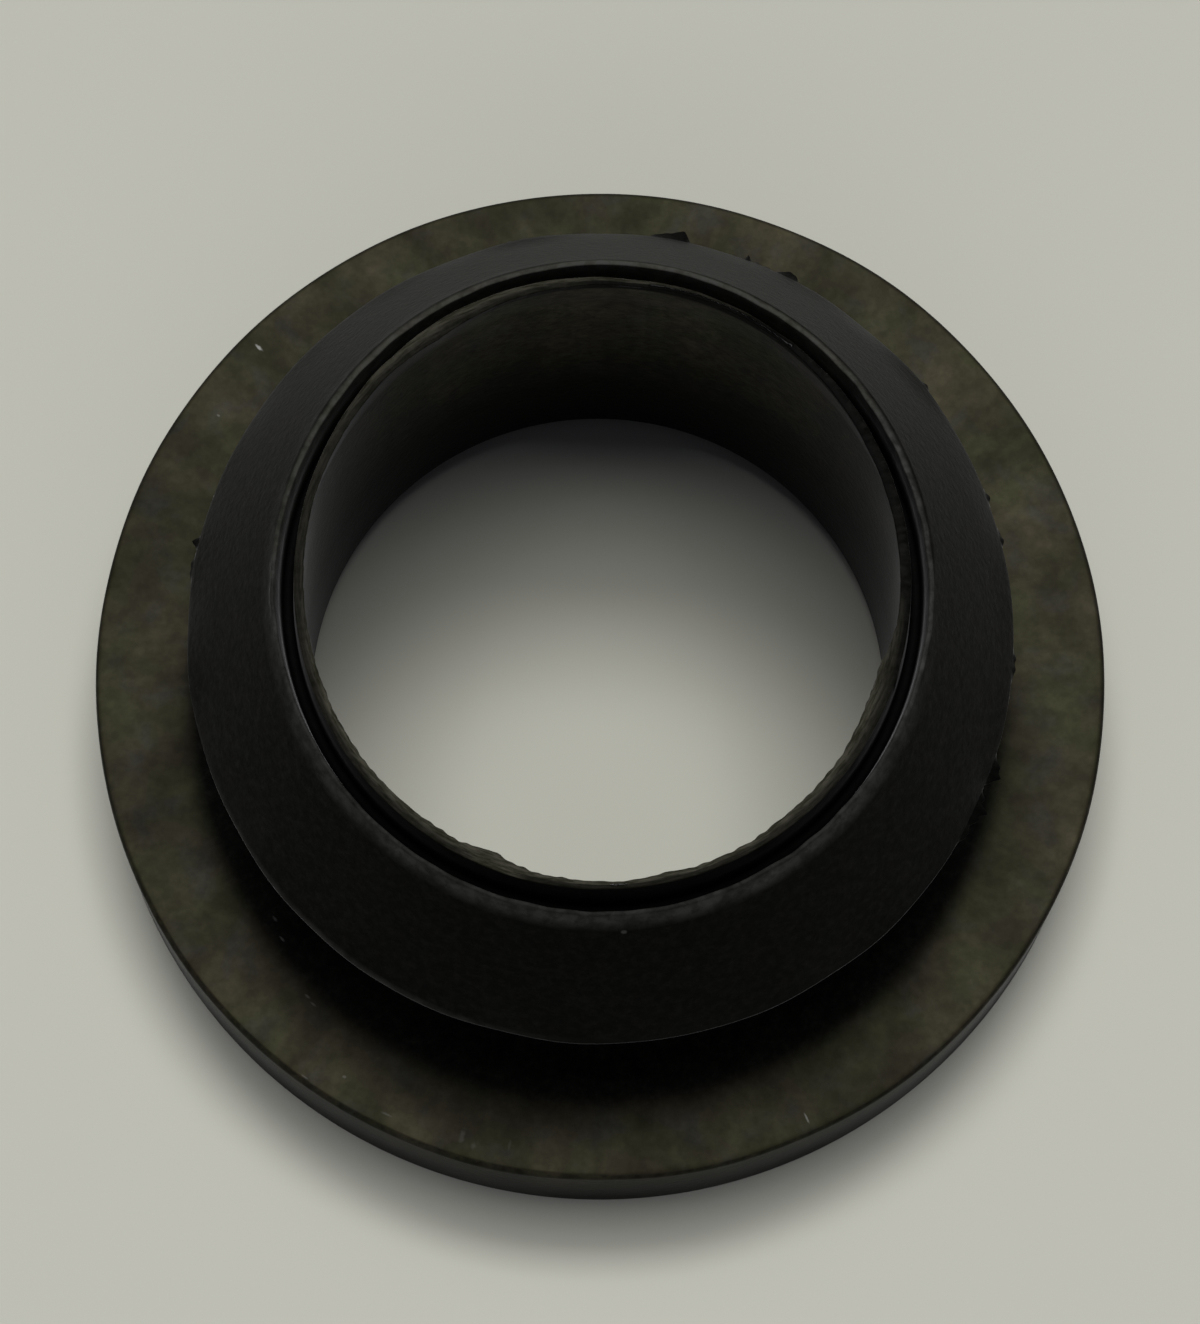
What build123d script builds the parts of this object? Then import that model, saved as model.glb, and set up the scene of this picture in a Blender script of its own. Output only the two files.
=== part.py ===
from build123d import *
import os

# Moulded rubber sensor seal, one piece: a flat flange, a neck that a tank wall snaps round, a barbed
# conical head, and a thin upstanding lip round the bore. A sensor stem is pushed in from the flange
# side. Millimetres. The origin is the centre of the flange's flat underside, and +Z runs up the bore.

# Bore
bore_diameter = 16.2
lead_in_depth = 1.35        # chamfer at the flange side that guides the stem in
lead_in_width = 1.0

# Flange
flange_diameter = 28.0
flange_thickness = 3.85
flange_edge_round = 0.25
flange_foot_round = 0.15

# Neck, the groove that grips the tank wall
wall_gap = 4.1
neck_wall = 1.8             # rubber between the bore and the neck
neck_root_round = 0.3

# Barbed head
barb_reach = 1.2            # how far the barb's edge stands out from the neck
barb_edge_height = 0.15
barb_edge_round = 0.04
cone_height = 4.35
crest_width = 0.1           # flat of the sharp crest, between the groove and the cone
crest_round = 0.05

# Lip round the bore, which leans in over it
lip_height = 0.35           # above the crest
lip_lean = 0.33             # how far the free edge stands in over the bore
lip_lean_height = 2.05      # height of the stretch that leans in
lip_edge_thickness = 0.25
lip_root_thickness = 0.25

# Narrow groove between the lip and the crest, wider at its mouth
groove_depth = 1.3
groove_floor_width = 0.1
groove_draft = 0.14         # how far the outer wall slants outward from the floor to the crest
groove_floor_round = 0.04
groove_edge_round = 0.03

# Moulding flash left on the barb's edge and on the lip's free edge, as thin torn points.
# Each is an azimuth in degrees, a width along the edge and a reach beyond it.
flash_thickness = 0.08
flash_root = 0.2            # how far a point runs back into the rubber
flash_slant = 0.3           # how far a point's tip lies off its middle, as a share of its width
barb_flash = [
    (82, 1.1, 0.4),
    (71, 0.4, 0.16),
    (65, 0.7, 0.26),
    (22, 0.7, 0.12),
    (16, 0.7, 0.12),
    (357, 1.0, 0.12),
    (342, 0.9, 0.36),
    (336, 1.0, 0.34),
    (174, 0.9, 0.12),
    (170, 0.5, 0.2),
]
lip_flash = [
    (340, 1.6, 0.14),
    (288, 0.5, 0.1),
    (251, 1.8, 0.26),
]

# Radii that follow from the sizes above
bore_radius = bore_diameter / 2
flange_radius = flange_diameter / 2
neck_radius = bore_radius + neck_wall
barb_radius = neck_radius + barb_reach

# Heights that follow from the sizes above
barb_underside = flange_thickness + wall_gap
cone_foot = barb_underside + barb_edge_height
crest_top = cone_foot + cone_height
groove_floor = crest_top - groove_depth
lip_top = crest_top + lip_height
lean_foot = lip_top - lip_lean_height

# The lip's flanks, the groove beside it and the crest beyond the groove
lean_at_groove = lip_lean * (groove_floor - lean_foot) / lip_lean_height
groove_inner_radius = bore_radius - lean_at_groove + lip_root_thickness
groove_outer_radius = groove_inner_radius + groove_floor_width
groove_mouth_radius = groove_outer_radius + groove_draft
crest_radius = groove_mouth_radius + crest_width
lip_inner_radius = bore_radius - lip_lean
lip_outer_radius = lip_inner_radius + lip_edge_thickness

# Corners of the half section, in order from the bore down and round: radius, height and rounding
corners = [
    (bore_radius, lean_foot, 0),
    (bore_radius, lead_in_depth, 0),
    (bore_radius + lead_in_width, 0, 0),
    (flange_radius, 0, flange_foot_round),
    (flange_radius, flange_thickness, flange_edge_round),
    (neck_radius, flange_thickness, neck_root_round),
    (neck_radius, barb_underside, neck_root_round),
    (barb_radius, barb_underside, barb_edge_round),
    (barb_radius, cone_foot, barb_edge_round),
    (crest_radius, crest_top, crest_round),
    (groove_mouth_radius, crest_top, groove_edge_round),
    (groove_outer_radius, groove_floor, groove_floor_round),
    (groove_inner_radius, groove_floor, groove_floor_round),
    (lip_outer_radius, lip_top, 0),
    (lip_inner_radius, lip_top, 0),
]


def flash_points(edge_radius, points, outward):
    """Thin torn points of flash on a round edge, drawn in the sketch that is open."""
    for azimuth, width, reach in points:
        with Locations(Location((0, 0, 0), (0, 0, azimuth))):
            Polygon(
                (edge_radius - outward * flash_root, -width / 2),
                (edge_radius + outward * reach, flash_slant * width),
                (edge_radius - outward * flash_root, width / 2),
                align=None,
            )


os.makedirs("parts", exist_ok=True)

with BuildPart() as sensor_seal:
    with BuildSketch(Plane.XZ) as half_section:
        with BuildLine() as outline:
            FilletPolyline(
                [(radius, height) for radius, height, rounding in corners],
                radius=[rounding for radius, height, rounding in corners],
                close=True,
            )
        make_face()
    revolve(axis=Axis.Z)

    with BuildSketch(Plane.XY.offset(barb_underside)) as barb_flash_plan:
        flash_points(barb_radius, barb_flash, outward=1)
    extrude(amount=flash_thickness)

    with BuildSketch(Plane.XY.offset(lip_top)) as lip_flash_plan:
        flash_points(lip_inner_radius, lip_flash, outward=-1)
    extrude(amount=-flash_thickness)

sensor_seal.part.label = "sensor_seal"
export_step(sensor_seal.part, "parts/sensor_seal.step")
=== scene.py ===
"""The looks of the sensor seal: one moulded rubber piece on a pale sheet, seen steeply from above."""

import math

import bpy
import numpy as np
from mathutils import Matrix, Vector


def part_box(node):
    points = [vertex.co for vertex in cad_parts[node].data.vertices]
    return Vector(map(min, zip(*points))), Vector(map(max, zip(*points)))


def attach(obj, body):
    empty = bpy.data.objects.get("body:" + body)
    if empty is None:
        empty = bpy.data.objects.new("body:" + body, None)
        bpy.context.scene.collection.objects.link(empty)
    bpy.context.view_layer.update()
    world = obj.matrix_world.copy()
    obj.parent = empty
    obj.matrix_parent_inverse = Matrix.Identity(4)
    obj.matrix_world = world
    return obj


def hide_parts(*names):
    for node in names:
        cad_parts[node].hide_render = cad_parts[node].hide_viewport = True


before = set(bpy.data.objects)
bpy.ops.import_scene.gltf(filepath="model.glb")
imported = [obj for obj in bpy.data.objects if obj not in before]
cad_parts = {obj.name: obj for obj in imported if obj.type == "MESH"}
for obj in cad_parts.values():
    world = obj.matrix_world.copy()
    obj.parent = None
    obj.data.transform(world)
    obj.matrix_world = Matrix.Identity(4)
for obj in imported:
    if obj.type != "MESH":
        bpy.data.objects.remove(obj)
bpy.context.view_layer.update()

MM = 0.001

# Overall sizes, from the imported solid
solid_low, solid_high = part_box("sensor_seal")
flange_radius = (solid_high.x - solid_low.x) / 2
lip_top = solid_high.z

# The moulded section, nearly that of the solid. In the groove the lip is made thinner at its root, so that
# its outer flank lies in shadow.
bore_radius = 8.1 * MM
lead_in_depth = 1.35 * MM
lead_in_width = 1.0 * MM
flange_thickness = 3.85 * MM
wall_foot_height = 0.5 * MM
neck_radius = 9.9 * MM
barb_radius = 11.1 * MM
barb_underside = 7.95 * MM
barb_edge_height = 0.15 * MM
crest_radius = 8.62 * MM
crest_top = lip_top - 0.35 * MM
groove_mouth_radius = 8.53 * MM
groove_outer_radius = 8.39 * MM
groove_inner_radius = 8.12 * MM
groove_floor = crest_top - 1.3 * MM
lip_inner_radius = 7.77 * MM
lip_outer_radius = 8.03 * MM
lip_lean_foot = lip_top - 2.05 * MM

# How many times the section is repeated round the axis
segments = 1280

# The soft moulding is out of round: its radius is larger along Y, and smaller along X, by this share
flange_oval = 0.007
barb_oval = 0.010
head_oval = 0.016

# The flange's rim is a little too wide, and its middle lies a little off the head's, along X and along Y
flange_widening = 0.02 * MM
flange_shift = (0.055 * MM, 0.025 * MM)

# How uneven each edge and face is: the usual height of the waves round it
barb_waviness = 0.02 * MM
lip_raggedness = 0.012 * MM
lip_waviness = 0.04 * MM
lip_roughness = 0.005 * MM
crest_waviness = 0.010 * MM
rim_waviness = 0.012 * MM
flange_waviness = 0.012 * MM

# How ragged the lip is where it isn't frayed, as a share of its raggedness where it is
unfrayed_share = 0.2

# Torn flash on the barb's edge: azimuth and width in degrees, reach in mm, and where along it the tip lies
barb_flash = [
    (82.8, 6.6, 0.33, 0.20),
    (71.2, 1.2, 0.26, 0.60),
    (69.0, 5.0, 0.06, 0.50),
    (65.4, 3.8, 0.26, 0.25),
    (40.2, 2.6, 0.09, 0.50),
    (21.8, 3.4, 0.10, 0.35),
    (15.8, 3.6, 0.10, 0.40),
    (357.0, 5.4, 0.11, 0.55),
    (341.8, 4.6, 0.34, 0.35),
    (336.0, 5.4, 0.32, 0.45),
    (332.5, 4.4, 0.16, 0.50),
    (173.6, 5.0, 0.10, 0.50),
    (170.0, 2.2, 0.20, 0.50),
    (105.0, 1.0, 0.08, 0.50),
]

# How much the flash's reach varies and how far it hangs, as shares of its reach
flash_raggedness = 0.25
flash_droop = 0.15

# How far the lip's torn free edge stands in over the bore, beyond its even circle: in mm, by azimuth in
# degrees
lip_edge = [
    (0, 0.03), (30, 0.03), (45, -0.03), (60, -0.10), (74, -0.12), (92, -0.08),
    (110, -0.04), (126, 0.10), (135, 0.00), (165, -0.04), (198, 0.03), (225, 0.03), (245, 0.06),
    (252, 0.18), (255, 0.08), (260, -0.02), (276, -0.08), (285, 0.00), (291, -0.05), (300, -0.02),
    (305, 0.03), (325, 0.10), (336, 0.22), (345, 0.25), (347, 0.16), (353, 0.05),
]

# How far in the crest and the lip's outer edge stand, in the same way
crest_edge = [
    (0, 0.00), (25, 0.07), (60, 0.05), (90, 0.02), (120, 0.06), (150, 0.06), (180, -0.02), (210, 0.00),
]
lip_outer_edge = [(60, 0.00), (90, -0.03), (120, -0.09), (150, -0.03), (180, 0.00)]

# Frayed fibres on the lip's inner and outer edge, as a share by azimuth in degrees. The shares are partly
# painted light and shade: low on the inner edge where the lip lies unlit, and high on the outer edge on the
# far side, a painted highlight where it catches the light.
lip_fraying_and_shade = [
    (0, 0.05), (50, 0.05), (85, 0.15), (150, 0.20), (185, 0.35), (210, 1.0), (335, 1.0), (350, 0.5),
]
lip_outer_fraying_and_highlight = [
    (0, 0.0), (60, 0.0), (85, 0.7), (130, 0.9), (160, 0.3), (190, 0.2), (246, 0.3), (249, 0.8),
    (256, 0.8), (259, 0.2), (320, 0.3), (350, 0.0),
]

# Painted highlights, in the same way, and how ragged they are: a light line along the crest, a lit band on
# the crest's near shoulder, and a light line on the barb's near edge
crest_highlight = [
    (0, 0.5), (60, 0.6), (90, 0.9), (110, 0.6), (180, 0.40), (220, 0.30), (310, 0.30), (345, 0.5),
]
apron_highlight = [
    (0, 0.0), (90, 0.05), (110, 0.20), (160, 0.10), (200, 0.20), (230, 0.40), (310, 0.50), (345, 0.10),
]
barb_edge_highlight = [(198, 0.0), (205, 0.10), (222, 0.3), (247, 0.3), (266, 0.15), (272, 0.0)]
edge_highlight_raggedness = 0.15
apron_highlight_raggedness = 0.2

# Film of dust or grime, in the same way. On the flange its share is also painted shade: less film toward the
# near side, where the flange lies in shade.
flange_film_and_shade = [
    (0, 0.90), (30, 1.00), (75, 1.00), (120, 0.90), (150, 0.75), (180, 0.70), (210, 0.75), (240, 0.80),
    (270, 0.62), (300, 0.68), (330, 0.88),
]
# On the rim's rounding the film stops at the near left: the clean rubber there is a painted dark line.
rim_film_and_shade = [(200, 0.5), (215, 0.0), (262, 0.0), (280, 0.5)]
# In the bore the film's share by azimuth is partly painted shade: smaller round 0 to 30 and 150 degrees.
bore_film_and_shade = [
    (0, 0.4), (30, 0.4), (60, 1.0), (120, 1.0), (150, 0.4), (170, 0.6), (180, 1.0), (200, 0.8), (340, 0.5),
]
groove_film = [(30, 0.0), (60, 0.8), (120, 0.8), (160, 0.3), (190, 0.0)]
wall_film = 0.25

# How far in from the flange's rim the film on its top starts, and the film on its rounding. The clean rubber
# left outside it is a painted dark line along the rim.
flange_film_inset = 0.12 * MM
rim_film_inset = 0.05 * MM

# Black rubber free of bloom, in the same way. Besides the torn flash, it is painted shade: under the lip's
# edge, on the lip's outer flank, on the near side of the cone and of the barb's edge, in the groove, low on
# the wall and deep in the bore.
# Painted shadow under the lip's edge, on the far right
undercut_shade = [(8, 0.0), (18, 1.0), (92, 1.0), (100, 0.0)]
# Painted shade on the near side of the cone
cone_near_shade = [(200, 0.00), (240, 0.35), (300, 0.35), (340, 0.00)]
# Painted shade on the barb's edge at the near right
barb_edge_shade = [(246, 0.00), (272, 0.90), (325, 0.90), (345, 0.00)]
# Painted shade in the groove
groove_shade = 0.75

# How dark the lip's inner edge is drawn, as a share of the painted shadow under it, and the reach from which
# torn flash is drawn all black
lip_shade_share = 0.8
flash_black_reach = 0.03 * MM

# Shares by height in mm. The bore's film is its share by height times its share by azimuth; the share by
# height is partly painted light, paler high in the bore and darker deep down.
bore_film_and_shade_by_height = [(3.5, 0.0), (8.5, 0.6)]
# Black rubber low on the flange's wall and deep in the bore: painted shade, darker toward the floor
wall_shade_by_height = [(0.5, 0.90), (3.6, 0.25)]
bore_shade_by_height = [(2.0, 0.85), (6.5, 0.0)]

# Painted shadow of the barb on the flange: within these circles the film is taken away, so that the flange
# shows dark. How far each stands toward the near side, its radius and the width of its soft edge, in mm, and
# how much dust is left within it
barb_shadow_circles = [(0.85, 10.9, 0.7, 0.0), (2.2, 9.4, 2.1, 0.4)]

# Pale flecks stuck on the rubber, and four painted glints in the barb's shadow: azimuth in degrees, radius in
# mm, height, length outward and width along the ring in mm, and how pale
barb_edge_middle = barb_underside + barb_edge_height / 2
cone_fleck_height = 11.87 * MM
flecks_and_glints = [
    (137.8, 13.40, flange_thickness, 0.15, 0.06, 0.45),
    (147.6, 12.95, flange_thickness, 0.06, 0.04, 0.12),
    (163.0, 11.01, barb_edge_middle, 0.08, 0.05, 0.6),
    (296.4, 13.62, flange_thickness, 0.17, 0.035, 0.16),
    (237.4, 13.82, flange_thickness, 0.03, 0.16, 0.06),
    (241.2, 13.24, flange_thickness, 0.06, 0.07, 0.08),
    (247.6, 13.60, flange_thickness, 0.04, 0.20, 0.05),
    (256.5, 13.45, flange_thickness, 0.26, 0.09, 0.03),
    (258.0, 13.62, flange_thickness, 0.12, 0.08, 0.03),
    (262.0, 13.40, flange_thickness, 0.18, 0.05, 0.02),
    # Painted glints in the barb's shadow
    (220.9, 11.24, flange_thickness, 0.05, 0.12, 0.05),
    (223.7, 11.44, flange_thickness, 0.04, 0.12, 0.06),
    (231.6, 12.06, flange_thickness, 0.04, 0.10, 0.05),
    (232.8, 12.12, flange_thickness, 0.04, 0.10, 0.05),
    (275.7, 9.09, cone_fleck_height, 0.06, 0.10, 0.06),
]

# The grain of a fleck's uneven outline, and how far from its middle it starts and ends fading, as shares of
# its size
fleck_grain = 0.08 * MM
fleck_fade = (0.3, 1.1)


# ---------------------------------------------------------------- section

def between(first, second, share):
    """The point that lies that share of the way from the first to the second."""
    return tuple(start + (end - start) * share for start, end in zip(first, second))


barb_corner = (barb_radius, barb_underside + barb_edge_height)
crest_corner = (crest_radius, crest_top)
groove_corner = (groove_inner_radius, groove_floor)
lip_outer_corner = (lip_outer_radius, lip_top)
lip_inner_corner = (lip_inner_radius, lip_top)
lean_corner = (bore_radius, lip_lean_foot)

# The section's corners in order: name, place, rounding, steps round the corner, steps to the next corner.
# Some lie on a straight stretch, where the finish changes.
section_corners = [
    ("bore", lean_corner, 0, 0, 3),
    ("bore", (bore_radius, lead_in_depth), 0.05 * MM, 2, 1),
    ("foot", (bore_radius + lead_in_width, 0), 0.05 * MM, 2, 2),
    ("sole", (flange_radius, 0), 0.25 * MM, 4, 1),
    ("wall", (flange_radius, wall_foot_height), 0, 0, 2),
    ("rim", (flange_radius, flange_thickness), 0.25 * MM, 5, 6),
    ("neck", (neck_radius, flange_thickness), 0.30 * MM, 3, 1),
    ("neck", (neck_radius, barb_underside), 0.30 * MM, 3, 1),
    ("flash", (barb_radius, barb_underside), 0.02 * MM, 1, 2),
    ("barb", barb_corner, 0.04 * MM, 2, 1),
    ("cone", between(barb_corner, crest_corner, 0.04), 0, 0, 3),
    ("cone", between(barb_corner, crest_corner, 0.87), 0, 0, 1),
    ("apron", between(barb_corner, crest_corner, 0.95), 0, 0, 1),
    ("apron", between(barb_corner, crest_corner, 0.982), 0, 0, 1),
    ("crest", crest_corner, 0.05 * MM, 3, 1),
    ("crest", (groove_mouth_radius, crest_top), 0.03 * MM, 2, 2),
    ("groove", (groove_outer_radius, groove_floor), 0.04 * MM, 1, 1),
    ("groove", groove_corner, 0.04 * MM, 1, 2),
    ("flank", between(lip_outer_corner, groove_corner, 0.08), 0, 0, 1),
    ("lip", lip_outer_corner, 0.02 * MM, 2, 3),
    ("lip", lip_inner_corner, 0.02 * MM, 2, 1),
    ("undercut", between(lip_inner_corner, lean_corner, 0.06), 0, 0, 1),
    ("undercut", between(lip_inner_corner, lean_corner, 0.16), 0, 0, 1),
    ("lean", between(lip_inner_corner, lean_corner, 0.22), 0, 0, 3),
]


def corner_arc(last_place, place, next_place, rounding, arc_steps):
    """The points of the arc that rounds the corner at place, between its two neighbours."""
    to_last = last_place - place
    to_next = next_place - place
    to_last /= np.linalg.norm(to_last)
    to_next /= np.linalg.norm(to_next)
    half = math.acos(to_last @ to_next) / 2
    inward = (to_last + to_next) / np.linalg.norm(to_last + to_next)
    centre = place + inward * rounding / math.sin(half)
    first = place + to_last * rounding / math.tan(half) - centre
    last = place + to_next * rounding / math.tan(half) - centre
    turn = math.pi - 2 * half
    return [
        centre + (first * math.sin((1 - share) * turn) + last * math.sin(share * turn)) / math.sin(turn)
        for share in np.linspace(0, 1, arc_steps + 1)
    ]


def rounded_section(corners):
    """Each row of the closed half section: its radius and height, and its corner's name.

    Rows on the way to the next corner are named "after" and the corner's name.
    """
    places = [np.array(corner[1]) for corner in corners]
    rounded = []
    for here, (_, _, rounding, arc_steps, _) in enumerate(corners):
        place, next_place = places[here], places[(here + 1) % len(places)]
        arc = corner_arc(places[here - 1], place, next_place, rounding, arc_steps) if rounding else [place]
        rounded.append(arc)
    names, points = [], []
    for here, (name, _, _, _, run_steps) in enumerate(corners):
        start, end = rounded[here][-1], rounded[(here + 1) % len(rounded)][0]
        run = [start + (end - start) * step / run_steps for step in range(1, run_steps)]
        points += rounded[here] + run
        names += [name] * len(rounded[here]) + ["after " + name] * len(run)
    return np.array(points), np.array(names)


section, row_name = rounded_section(section_corners)
row_radius, row_height = section.T
azimuth = np.arange(segments) * 2 * np.pi / segments


def rows(*names):
    """Which rows of the section have one of these names."""
    return np.isin(row_name, names)


# The rows of each part of the section
sole = rows("sole")
wall = rows("wall", "after wall")
wall_and_rim = wall | rows("rim")
face = rows("rim", "after rim")
flash = rows("flash", "after flash")
barb = rows("barb")
cone = rows("cone", "after cone")
apron = rows("apron")
crest = rows("crest")
lip = rows("lip", "after lip")
lip_inner = lip & (row_radius < (lip_inner_radius + lip_outer_radius) / 2)
lip_outer = lip & ~lip_inner
undercut = rows("undercut")
lean = rows("lean", "after lean")
bore = lean | rows("bore", "after bore")


# ---------------------------------------------------------------- shape

def wobble(lowest, highest, seed):
    """An even random unevenness round the axis, about 1 high, of waves that close on themselves."""
    chance = np.random.default_rng(seed)
    waves = np.arange(lowest, highest + 1)
    phases = chance.uniform(0, 2 * np.pi, len(waves))
    heights = chance.uniform(0.4, 1.0, len(waves))
    total = (heights[:, None] * np.cos(waves[:, None] * azimuth + phases[:, None])).sum(0)
    return (total / np.sqrt((heights ** 2).sum()))[:, None]


def torn_points(marks):
    """How far torn points stand out round the axis: pointed humps with one steep side and one long one."""
    total = np.zeros_like(azimuth)
    degrees = np.degrees(azimuth)
    for middle, width, reach, tip in marks:
        share = ((degrees - middle + 180) % 360 - 180) / width + 0.5
        rise = np.clip(np.minimum(share / tip, (1 - share) / (1 - tip)), 0, 1)
        total += reach * MM * rise
    return total[:, None]


def by_azimuth(marks):
    """A value round the axis that changes evenly from each marked azimuth, in degrees, to the next."""
    at, value = zip(*marks)
    return np.interp(np.degrees(azimuth), at, value, period=360)[:, None]


def by_height(height, marks):
    """A value that changes evenly from each marked height, in mm, to the next."""
    at, value = zip(*marks)
    return np.interp(height, np.array(at) * MM, value)


def moulded_shape():
    """The section repeated round the axis, then made as uneven as the moulding is.

    Gives x, y and z, each with a line for every azimuth and a column for every row, and the flash's reach.
    """
    around = azimuth[:, None]
    radius = np.repeat(row_radius[None, :], segments, 0)
    height = np.repeat(row_height[None, :], segments, 0)

    # Out of round
    oval = np.interp(
        height,
        [flange_thickness, barb_underside, barb_underside + barb_edge_height, crest_top],
        [flange_oval, barb_oval, barb_oval, head_oval],
    )
    radius = radius * (1 - oval * np.cos(2 * around))

    # Barb's edge: a little wavy, with torn flash along its lower side
    radius[:, flash | barb] += barb_waviness * wobble(3, 24, seed=11)
    torn_flash = torn_points(barb_flash) * (1 + flash_raggedness * wobble(90, 240, seed=12))
    radius[:, flash] += torn_flash
    height[:, flash] -= flash_droop * torn_flash

    # Lip: its free edge is torn, and stands in or back by what is listed, with the wall under it following
    lean_share = np.clip((row_height - lip_lean_foot) / (lip_top - lip_lean_foot), 0, 1)
    follows = np.where(undercut | lean, lean_share ** 2, 0)
    follows[lip_inner] = 1.0
    frayed_share = unfrayed_share + (1 - unfrayed_share) * by_azimuth(lip_fraying_and_shade)
    ragged = lip_raggedness * wobble(30, 160, seed=21) * frayed_share
    radius -= by_azimuth(lip_edge) * MM * follows
    radius[:, lip_inner] -= ragged
    radius[:, lip_outer] -= by_azimuth(lip_outer_edge) * MM
    sunken = lip_waviness * (wobble(3, 40, seed=23) - 1)
    height[:, lip] += sunken + lip_roughness * wobble(60, 300, seed=24)

    # Crest: a thin ridge, unevenly worn
    radius[:, crest] += crest_waviness * wobble(8, 60, seed=31)
    radius[:, crest] -= by_azimuth(crest_edge) * MM

    # Flange: faintly wavy top and rim, a little off the head's middle
    radius[:, wall_and_rim] += rim_waviness * wobble(3, 18, seed=41)
    height[:, face] += flange_waviness * wobble(2, 14, seed=42)
    outward = np.clip((radius - neck_radius) / (flange_radius - neck_radius), 0, 1)
    outward = np.where(sole | wall | face, outward, 0)
    radius += flange_widening * outward

    x = radius * np.cos(around) + flange_shift[0] * outward
    y = radius * np.sin(around) + flange_shift[1] * outward
    return x, y, np.maximum(height, 0), torn_flash


def mesh_shares(height, torn_flash):
    """How much of each finish, and of painted light and shade, every point has, by the name that the material
    knows it by.
    """
    # Dust film on the flange, partly painted shade: less of it toward the near side
    dust_and_shade = np.zeros_like(height)
    covered = face & (row_radius < flange_radius - flange_film_inset)
    dust_and_shade[:, covered] = by_azimuth(flange_film_and_shade)
    # The rim's rounding: film only where listed, so that the clean rubber elsewhere is a painted dark line
    rounded = rows("rim") & ~covered & (row_radius < flange_radius - rim_film_inset)
    dust_and_shade[:, rounded] = by_azimuth(rim_film_and_shade)

    # Grime in the bore, partly painted light and shade: paler high up, and darker deep down and at some sides
    grime_and_shade = np.zeros_like(height)
    grime_and_shade[:, bore] = by_height(height[:, bore], bore_film_and_shade_by_height) * by_azimuth(bore_film_and_shade)
    grime_and_shade[:, wall_and_rim] = wall_film
    grime_and_shade[:, rows("crest", "after crest")] = by_azimuth(groove_film)

    # Black rubber without bloom: painted shade on the lip's outer flank, in the groove, on the near barb edge
    # and cone, low on the wall, deep in the bore and under the lip's edge. The torn flash and the hidden sole
    # are black too.
    fresh_and_shade = np.zeros_like(height)
    fresh_and_shade[:, rows("flank", "sole")] = 1.0
    fresh_and_shade[:, rows("groove", "after groove")] = groove_shade
    fresh_and_shade[:, barb] = by_azimuth(barb_edge_shade)
    fresh_and_shade[:, wall] = by_height(height[:, wall], wall_shade_by_height)
    fresh_and_shade[:, cone] = by_azimuth(cone_near_shade)
    fresh_and_shade[:, bore] = by_height(height[:, bore], bore_shade_by_height)
    fresh_and_shade[:, flash] = np.clip(torn_flash / flash_black_reach, 0, 1)
    fresh_and_shade[:, undercut] = by_azimuth(undercut_shade)
    fresh_and_shade[:, lip_inner] = lip_shade_share * by_azimuth(undercut_shade)

    # Fibres on the lip's edges, partly painted light and shade
    fibres_and_light = np.zeros_like(height)
    fibres_and_light[:, lip_inner] = by_azimuth(lip_fraying_and_shade)
    fibres_and_light[:, lip_outer] = by_azimuth(lip_outer_fraying_and_highlight)

    # Painted highlights on the crest, its near shoulder and the barb's near edge
    painted_highlight = np.zeros_like(height)
    jagged = np.clip(1 + edge_highlight_raggedness * wobble(10, 120, seed=51), 0, 2)
    painted_highlight[:, crest] = by_azimuth(crest_highlight) * jagged
    painted_highlight[:, apron] = by_azimuth(apron_highlight) * (1 + apron_highlight_raggedness * wobble(5, 40, seed=52))
    painted_highlight[:, barb] = by_azimuth(barb_edge_highlight) * jagged
    return {"dust_and_shade": dust_and_shade, "grime_and_shade": grime_and_shade, "fresh_and_shade": fresh_and_shade, "fibres_and_light": fibres_and_light, "painted_highlight": painted_highlight}


def seal_mesh():
    """The whole seal, with its shares of each finish and of painted light and shade as attributes of its
    points.
    """
    x, y, z, torn_flash = moulded_shape()
    vertices = np.stack([x, y, z], -1).reshape(-1, 3)
    count = len(section)
    first = np.arange(segments)[:, None] * count
    second = np.roll(np.arange(segments), -1)[:, None] * count
    here = np.arange(count)[None, :]
    after = np.roll(np.arange(count), -1)[None, :]
    faces = np.stack([first + here, second + here, second + after, first + after], -1).reshape(-1, 4)

    mesh = bpy.data.meshes.new("rubber_seal")
    mesh.from_pydata(vertices.tolist(), [], faces.tolist())
    mesh.polygons.foreach_set("use_smooth", np.ones(len(faces), bool))
    for name, values in mesh_shares(z, torn_flash).items():
        attribute = mesh.attributes.new(name, "FLOAT", "POINT")
        attribute.data.foreach_set("value", values.astype(np.float32).ravel())
    mesh.update()
    return mesh


# ---------------------------------------------------------------- finish, with painted light and shade

def colour(red, green, blue):
    return (red, green, blue, 1.0)


clean_dark = colour(0.0002, 0.0002, 0.0001)
clean_pale = colour(0.0062, 0.0060, 0.0050)
# Black for painted shade and for the torn flash
fresh_and_shade_black = colour(0.0012, 0.0012, 0.0012)
film_olive = colour(0.0388, 0.0386, 0.0208)
film_brown = colour(0.0430, 0.0382, 0.0232)
film_grey = colour(0.0390, 0.0380, 0.0290)
# The colour of painted highlights
highlight_grey = colour(0.050, 0.050, 0.046)
fibre_dark = colour(0.014, 0.014, 0.008)
fibre_pale = colour(0.052, 0.049, 0.036)
fleck_and_glint_white = colour(0.60, 0.60, 0.57)

# The sheen that bloom gives the rubber, and how much of it is taken away where the rubber is painted black
# for shade
bloom_sheen = 0.22
fresh_and_shade_sheen_loss = 0.19


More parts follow.
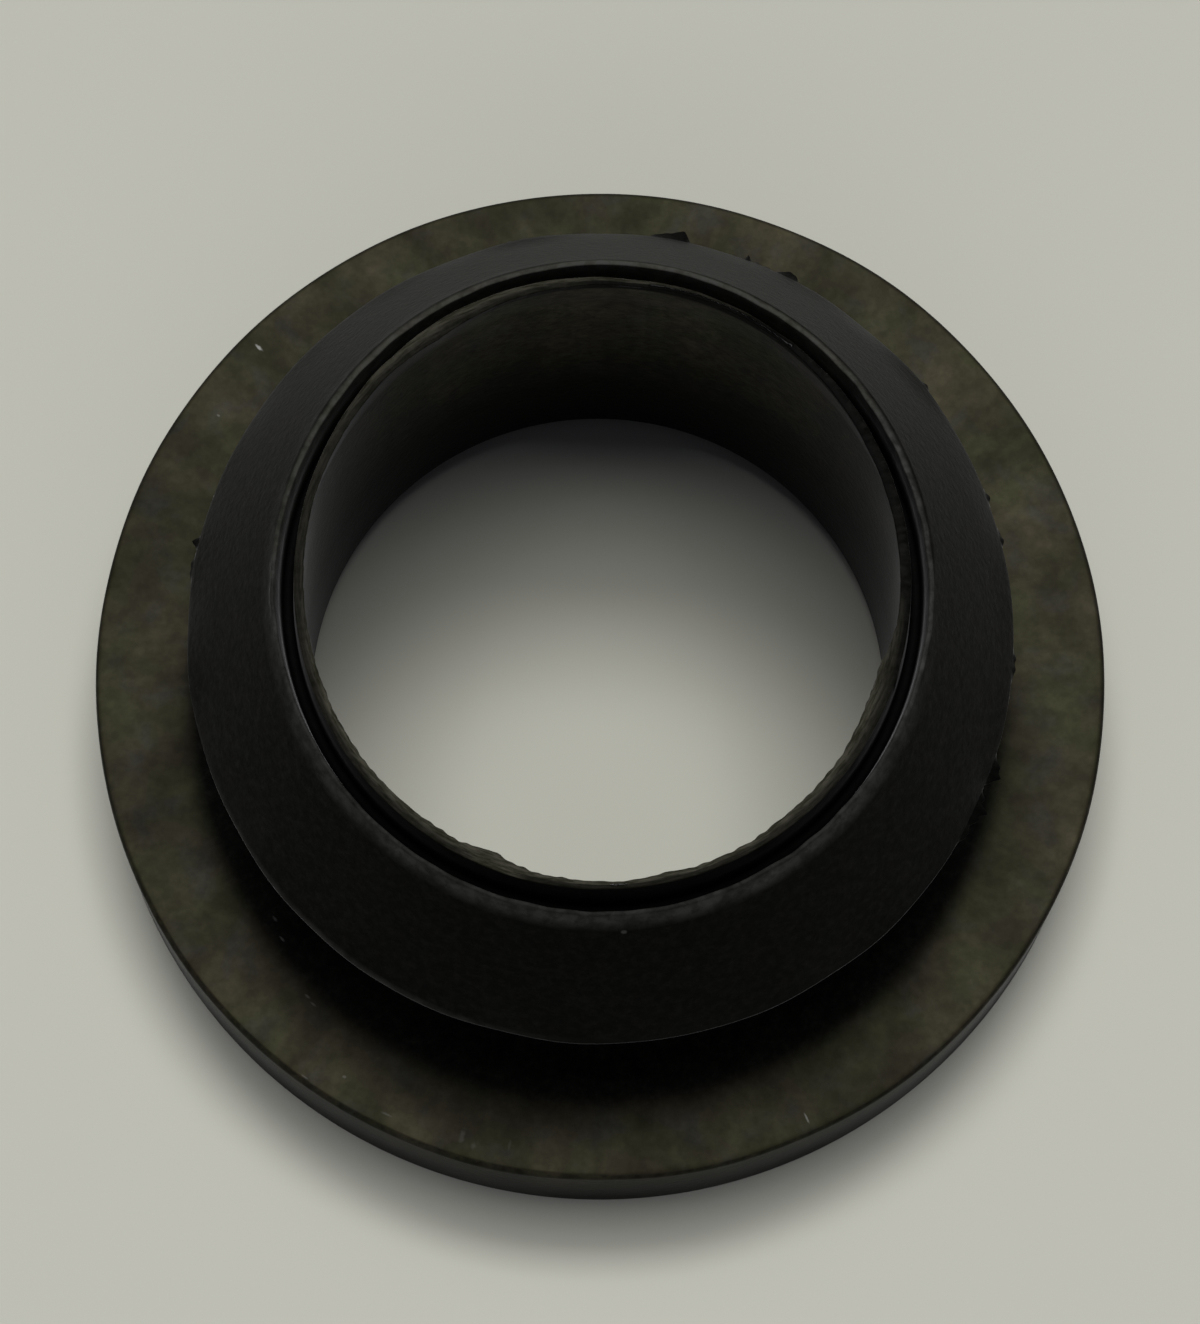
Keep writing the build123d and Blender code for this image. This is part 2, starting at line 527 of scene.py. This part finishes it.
def add(tree, kind, inputs=None, **settings):
    """A new node, its settings, and its inputs given by value or by the socket that feeds them."""
    node = tree.nodes.new(kind)
    for name, value in settings.items():
        setattr(node, name, value)
    for name, value in (inputs or {}).items():
        if isinstance(value, bpy.types.NodeSocket):
            tree.links.new(value, node.inputs[name])
        else:
            node.inputs[name].default_value = value
    return node


def noise(tree, place, grain, detail=3.0, roughness=0.55, distortion=0.0):
    """Cloudy noise whose patches are about grain across."""
    return add(tree, "ShaderNodeTexNoise", {
        "Vector": place, "Scale": 1 / grain, "Detail": detail, "Roughness": roughness,
        "Distortion": distortion,
    }).outputs["Fac"]


def vector(tree, operation, first, second=None):
    """What a vector operation gives: a number for a length or a distance, otherwise a vector."""
    inputs = {0: first} if second is None else {0: first, 1: second}
    output = "Value" if operation in ("LENGTH", "DISTANCE") else "Vector"
    return add(tree, "ShaderNodeVectorMath", inputs, operation=operation).outputs[output]


def flat_place(tree, place):
    """The place without its height."""
    return vector(tree, "MULTIPLY", place, Vector((1, 1, 0)))


def drawn_place(tree, place, outward_share):
    """The direction from the axis, with that share of the distance from it along Z.

    Noise that is read there is drawn out along the radius.
    """
    flat = flat_place(tree, place)
    outward = vector(tree, "NORMALIZE", flat)
    away = vector(tree, "LENGTH", flat)
    share = arithmetic(tree, "MULTIPLY", away, outward_share / MM)
    along = add(tree, "ShaderNodeCombineXYZ", {"Z": share}).outputs[0]
    return vector(tree, "ADD", outward, along)


def ramp(tree, value, low, high, out_low=0.0, out_high=1.0):
    """value from low to high, mapped softly to out_low to out_high and held there beyond."""
    return add(tree, "ShaderNodeMapRange", {
        "Value": value, "From Min": low, "From Max": high, "To Min": out_low, "To Max": out_high,
    }, interpolation_type="SMOOTHSTEP").outputs["Result"]


def blend(tree, share, first, second, way="MIX"):
    """The first colour, with that share of the second blended in."""
    inputs = {0: share, 6: first, 7: second}
    return add(tree, "ShaderNodeMix", inputs, data_type="RGBA", blend_type=way).outputs[2]


def arithmetic(tree, operation, first, second):
    return add(tree, "ShaderNodeMath", {0: first, 1: second}, operation=operation).outputs[0]


def mesh_share(tree, name):
    """The share that the mesh holds under that name, for a finish and for painted light and shade."""
    return add(tree, "ShaderNodeAttribute", attribute_name=name).outputs["Fac"]


def fleck_and_glint_cover(tree, place):
    """How much of the listed flecks and painted glints covers each point, each an uneven oval."""
    uneven = add(tree, "ShaderNodeTexNoise", {
        "Vector": place, "Scale": 1 / fleck_grain, "Detail": 2.0,
    }).outputs["Color"]
    noise_middle = Vector((0.5, 0.5, 0.5))
    fade_start, fade_end = fleck_fade
    cover = 0.0
    for degrees, radius, height, length, width, paleness in flecks_and_glints:
        turn = math.radians(degrees)
        spot = Vector((radius * MM * math.cos(turn), radius * MM * math.sin(turn), height))
        local = add(tree, "ShaderNodeMapping", {
            "Vector": place, "Location": spot, "Rotation": Vector((0, 0, turn)),
            "Scale": Vector((length, width, 2 * length)) * MM,
        }, vector_type="TEXTURE").outputs[0]
        shaken = vector(tree, "ADD", local, uneven)
        away = vector(tree, "DISTANCE", shaken, noise_middle)
        near = ramp(tree, away, fade_start, fade_end, paleness, 0.0)
        cover = near if cover == 0.0 else arithmetic(tree, "MAXIMUM", cover, near)
    return cover


def dust_film(tree, place):
    """Soft patches of olive, brown and grey, partly wiped outward."""
    wiped = drawn_place(tree, place, 0.035)
    brown = ramp(tree, noise(tree, place, 2.0 * MM, 3.0, 0.55, 0.5), 0.38, 0.60)
    film = blend(tree, brown, film_olive, film_brown)
    grey = ramp(tree, noise(tree, place, 1.3 * MM, 4.0, 0.6, 0.4), 0.50, 0.68, 0.0, 0.9)
    film = blend(tree, grey, film, film_grey)
    for grain, low, high in (
        (noise(tree, place, 2.2 * MM, 2.0), 0.78, 1.22),
        (noise(tree, wiped, 0.10, 3.0, 0.5, 0.4), 0.84, 1.16),
        (noise(tree, wiped, 0.025, 3.0, 0.5, 0.4), 0.93, 1.07),
        (noise(tree, place, 0.8 * MM, 3.0, 0.6), 0.88, 1.12),
        (noise(tree, place, 0.22 * MM, 3.0), 0.88, 1.12),
    ):
        film = blend(tree, 1.0, film, ramp(tree, grain, 0.3, 0.7, low, high), "MULTIPLY")
    return film


def rubber_material():
    """Matte black rubber: clean on the head, filmed with olive and brown dust on the flange."""
    material = bpy.data.materials.new("seal_rubber")
    material.use_nodes = True
    tree = material.node_tree
    tree.nodes.clear()
    place = add(tree, "ShaderNodeTexCoord").outputs["Object"]
    dust_and_shade = mesh_share(tree, "dust_and_shade")
    grime_and_shade = mesh_share(tree, "grime_and_shade")
    fresh_and_shade = mesh_share(tree, "fresh_and_shade")
    fibres_and_light = mesh_share(tree, "fibres_and_light")
    painted_highlight = mesh_share(tree, "painted_highlight")

    # Clean rubber, faintly mottled
    mottle = ramp(tree, noise(tree, place, 0.25 * MM, 5.0, 0.75), 0.38, 0.78)
    clean = blend(tree, mottle, clean_dark, clean_pale)

    # The film is taken away under the barb's near side, a painted shadow of the barb, and grime and painted
    # highlights are patchy
    film = dust_film(tree, place)
    patchy = ramp(tree, noise(tree, place, 0.35 * MM, 4.0, 0.65, 0.3), 0.35, 0.65, 0.6, 1.4)
    flat = flat_place(tree, place)
    for offset, radius, soft_edge, least in barb_shadow_circles:
        away = vector(tree, "DISTANCE", flat, Vector((0, -offset * MM, 0)))
        out_of_barb_shadow = ramp(tree, away, radius * MM, (radius + soft_edge) * MM, least, 1.0)
        dust_and_shade = arithmetic(tree, "MULTIPLY", dust_and_shade, out_of_barb_shadow)
    film_and_shade = arithmetic(tree, "MAXIMUM", dust_and_shade, arithmetic(tree, "MULTIPLY", grime_and_shade, patchy))
    base = blend(tree, film_and_shade, clean, film)

    # Painted highlights and fibres over the film, then black for painted shade and torn flash, with the
    # flecks and painted glints on top
    patchy_highlight = arithmetic(tree, "MULTIPLY", painted_highlight, patchy)
    base = blend(tree, patchy_highlight, base, highlight_grey)
    fibre = ramp(tree, noise(tree, drawn_place(tree, place, 1.25), 0.07, 4.0, 0.7), 0.35, 0.65)
    base = blend(tree, fibres_and_light, base, blend(tree, fibre, fibre_dark, fibre_pale))
    base = blend(tree, fresh_and_shade, base, fresh_and_shade_black)
    base = blend(tree, fleck_and_glint_cover(tree, place), base, fleck_and_glint_white)

    # Bloom shows as sheen, less where the rubber is painted black for shade, and a fine grain roughens the
    # surface
    lost_sheen = arithmetic(tree, "MULTIPLY", fresh_and_shade, fresh_and_shade_sheen_loss)
    bloom = arithmetic(tree, "SUBTRACT", bloom_sheen, lost_sheen)
    grain = noise(tree, place, 0.20 * MM, 4.0, 0.65)
    bump = add(tree, "ShaderNodeBump", {"Height": grain, "Strength": 0.40, "Distance": 0.03 * MM})
    shader = add(tree, "ShaderNodeBsdfPrincipled", {
        "Base Color": base, "Roughness": 0.55, "Specular IOR Level": 0.02, "Normal": bump.outputs["Normal"],
        "Sheen Weight": bloom, "Sheen Roughness": 0.25,
    })
    add(tree, "ShaderNodeOutputMaterial", {"Surface": shader.outputs["BSDF"]})
    return material


def sensor_seal():
    """The seal's one piece, in place of the solid."""
    mesh = seal_mesh()
    mesh.materials.append(rubber_material())
    seal = bpy.data.objects.new("rubber_seal", mesh)
    bpy.context.scene.collection.objects.link(seal)
    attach(seal, "root")
    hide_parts("sensor_seal")


# ---------------------------------------------------------------- stage

sheet_tone = colour(0.520, 0.520, 0.450)
sheet_reach = 1.8
sky_tone = colour(1.0, 1.0, 1.3)
sky_strength = 0.09

# The lamps: name, width, depth, place, lean toward the seal in degrees, power in watts
lamps = [
    ("broad_lamp", 3.4, 3.4, (0, 1.7, 5.0), 0, 177.0),
    ("far_lamp", 2.6, 1.4, (0, 2.4, 5.0), 0, 112.0),
    ("near_lamp", 14.0, 1.2, (0, -4.0, 2.0), 63, 80.0),
]

# The camera: its tilt from straight down, its roll, its distance from the middle of the flange's top, and how
# far beside that it aims
camera_tilt = math.radians(15.5)
camera_roll = math.radians(2.4)
camera_distance = 120.28 * MM
camera_aim = Vector((0.02, 0.24, 0)) * MM


def pale_sheet():
    """The plain pale surface that the seal stands on."""
    corners = [(-1, -1), (1, -1), (1, 1), (-1, 1)]
    vertices = [(sheet_reach * x, sheet_reach * y, 0) for x, y in corners]
    mesh = bpy.data.meshes.new("sheet")
    mesh.from_pydata(vertices, [], [(0, 1, 2, 3)])
    material = bpy.data.materials.new("sheet")
    material.use_nodes = True
    shader = material.node_tree.nodes["Principled BSDF"]
    shader.inputs["Base Color"].default_value = sheet_tone
    shader.inputs["Roughness"].default_value = 0.9
    shader.inputs["Specular IOR Level"].default_value = 0.1
    mesh.materials.append(material)
    sheet = bpy.data.objects.new("sheet", mesh)
    bpy.context.scene.collection.objects.link(sheet)


def soft_light():
    """Two soft lamps high up on the far side, a weak one low on the near side, and a dim even sky."""
    for name, width, depth, place, lean_degrees, power in lamps:
        lamp = bpy.data.lights.new(name, "AREA")
        lamp.shape = "RECTANGLE"
        lamp.size = width
        lamp.size_y = depth
        lamp.energy = power
        holder = bpy.data.objects.new(name, lamp)
        holder.location = place
        holder.rotation_euler = (math.radians(lean_degrees), 0, 0)
        bpy.context.scene.collection.objects.link(holder)

    world = bpy.data.worlds.new("sky")
    bpy.context.scene.world = world
    world.use_nodes = True
    tree = world.node_tree
    tree.nodes.clear()
    path = add(tree, "ShaderNodeLightPath").outputs
    seen = arithmetic(tree, "MAXIMUM", path["Is Camera Ray"], path["Is Glossy Ray"])
    seen = arithmetic(tree, "MAXIMUM", seen, path["Is Transmission Ray"])
    dim = add(tree, "ShaderNodeBackground", {"Color": sky_tone, "Strength": sky_strength}).outputs[0]
    pale = add(tree, "ShaderNodeBackground", {"Color": sheet_tone, "Strength": 1.0}).outputs[0]
    both = add(tree, "ShaderNodeMixShader", {0: seen, 1: dim, 2: pale})
    add(tree, "ShaderNodeOutputWorld", {"Surface": both.outputs[0]})


def camera():
    """A long lens looking steeply down from the -Y side, turned a little about its own axis."""
    flange_centre = Vector((0, 0, flange_thickness))
    away = Vector((0, -math.sin(camera_tilt), math.cos(camera_tilt)))
    aim = flange_centre + camera_aim
    lens = bpy.data.cameras.new("camera")
    lens.sensor_width = 36.0
    lens.lens = 118.7
    lens.clip_start = 0.01
    holder = bpy.data.objects.new("camera", lens)
    holder.location = flange_centre + away * camera_distance
    facing = (aim - holder.location).to_track_quat("-Z", "Y").to_matrix().to_4x4()
    roll = Matrix.Rotation(camera_roll, 4, "Z")
    holder.matrix_world = Matrix.Translation(holder.location) @ facing @ roll
    bpy.context.scene.collection.objects.link(holder)
    bpy.context.scene.camera = holder


bpy.context.scene.view_settings.view_transform = "Standard"
camera()
soft_light()
pale_sheet()
sensor_seal()
